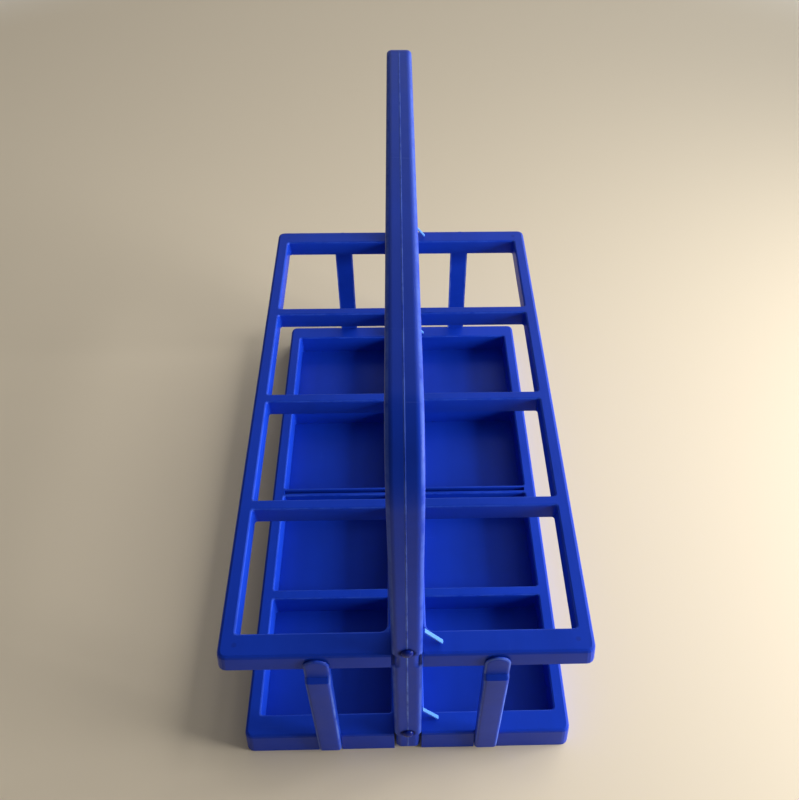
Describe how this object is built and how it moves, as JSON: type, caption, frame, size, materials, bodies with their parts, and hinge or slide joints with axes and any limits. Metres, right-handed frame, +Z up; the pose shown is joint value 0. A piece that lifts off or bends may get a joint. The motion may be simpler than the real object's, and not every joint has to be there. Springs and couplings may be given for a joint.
{
  "type": "bottle carrier",
  "caption": "Moulded plastic carrier for drinks bottles: a tray of square pans, an open grid frame held above it by struts, and a tall arched handle along its length.",
  "frame": {"origin": "bottom centre of the carrier's bounding box, on the surface it stands on", "axes": "+X across the carrier, +Y along its length from the front end to the rear end, +Z up"},
  "size_m": [0.2384, 0.4542, 0.338],
  "materials": {
    "tray_plastic": "satin blue, injection moulded",
    "frame_plastic": "satin blue, injection moulded",
    "handle_plastic": "satin blue, injection moulded",
    "strut_plastic": "satin blue, injection moulded",
    "pin_plastic": "satin blue, injection moulded",
    "tab_plastic": "satin blue, thin and slightly lighter"
  },
  "bodies": {
    "carrier": {"base_tray": "tray_plastic", "top_frame": "frame_plastic", "carry_handle": "handle_plastic", "strut_front_left": "strut_plastic", "strut_front_right": "strut_plastic", "strut_rear_left": "strut_plastic", "strut_rear_right": "strut_plastic", "handle_pin_front_upper": "pin_plastic", "handle_pin_front_lower": "pin_plastic", "handle_pin_rear_upper": "pin_plastic", "handle_pin_rear_lower": "pin_plastic"},
    "catch_front_upper": {"catch_tab_front_upper": "tab_plastic"},
    "catch_front_lower": {"catch_tab_front_lower": "tab_plastic"},
    "catch_rear_upper": {"catch_tab_rear_upper": "tab_plastic"},
    "catch_rear_lower": {"catch_tab_rear_lower": "tab_plastic"}
  },
  "joints": [
    {"name": "catch_front_upper_bend", "type": "hinge", "parent": "carrier", "child": "catch_front_upper", "pos_m": [0.0107, -0.21295, 0.1607], "axis": [0, 1, 0], "range_deg": [-25, 0], "stiffness_Nm_per_rad": 0.02},
    {"name": "catch_front_lower_bend", "type": "hinge", "parent": "carrier", "child": "catch_front_lower", "pos_m": [0.0107, -0.20945, 0.0379], "axis": [0, 1, 0], "range_deg": [-25, 0], "stiffness_Nm_per_rad": 0.02},
    {"name": "catch_rear_upper_bend", "type": "hinge", "parent": "carrier", "child": "catch_rear_upper", "pos_m": [0.0107, 0.21295, 0.1607], "axis": [0, 1, 0], "range_deg": [-25, 0], "stiffness_Nm_per_rad": 0.02},
    {"name": "catch_rear_lower_bend", "type": "hinge", "parent": "carrier", "child": "catch_rear_lower", "pos_m": [0.0107, 0.20945, 0.0379], "axis": [0, 1, 0], "range_deg": [-25, 0], "stiffness_Nm_per_rad": 0.02}
  ]
}
